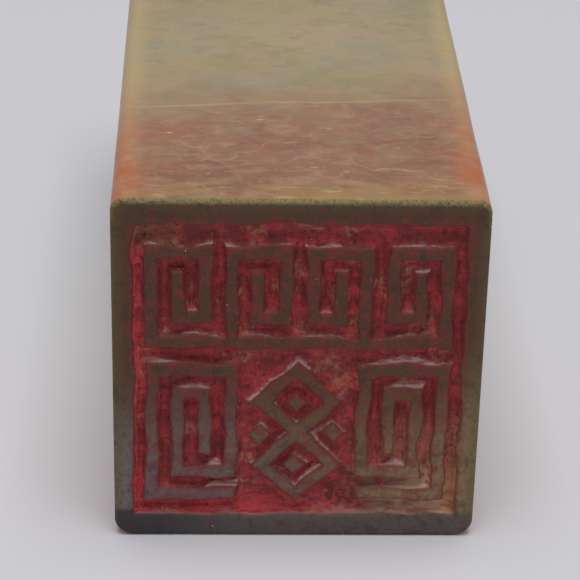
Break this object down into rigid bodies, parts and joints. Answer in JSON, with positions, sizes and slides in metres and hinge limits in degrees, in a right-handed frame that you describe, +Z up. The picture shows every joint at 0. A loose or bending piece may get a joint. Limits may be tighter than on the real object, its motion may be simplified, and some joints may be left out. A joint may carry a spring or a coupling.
{
  "type": "seal stamp",
  "caption": "Square stone seal stamp lying on its side, with a carved relief printing face inside a raised rim and dried red seal paste left in the recesses.",
  "frame": {"origin": "middle of the side that the stone rests on", "axes": "+Z up out of the resting side, +Y along the stone from the printing face to the plain end, +X to the right as the printing face is looked at"},
  "size_m": [0.025, 0.06, 0.026],
  "materials": {
    "soapstone": "hand polished, waxy",
    "seal_paste": "dried, matt and crumbly"
  },
  "bodies": {
    "root": {"stone_block": "soapstone", "paste_film": "seal_paste", "paste_bead": "seal_paste"}
  },
  "joints": []
}
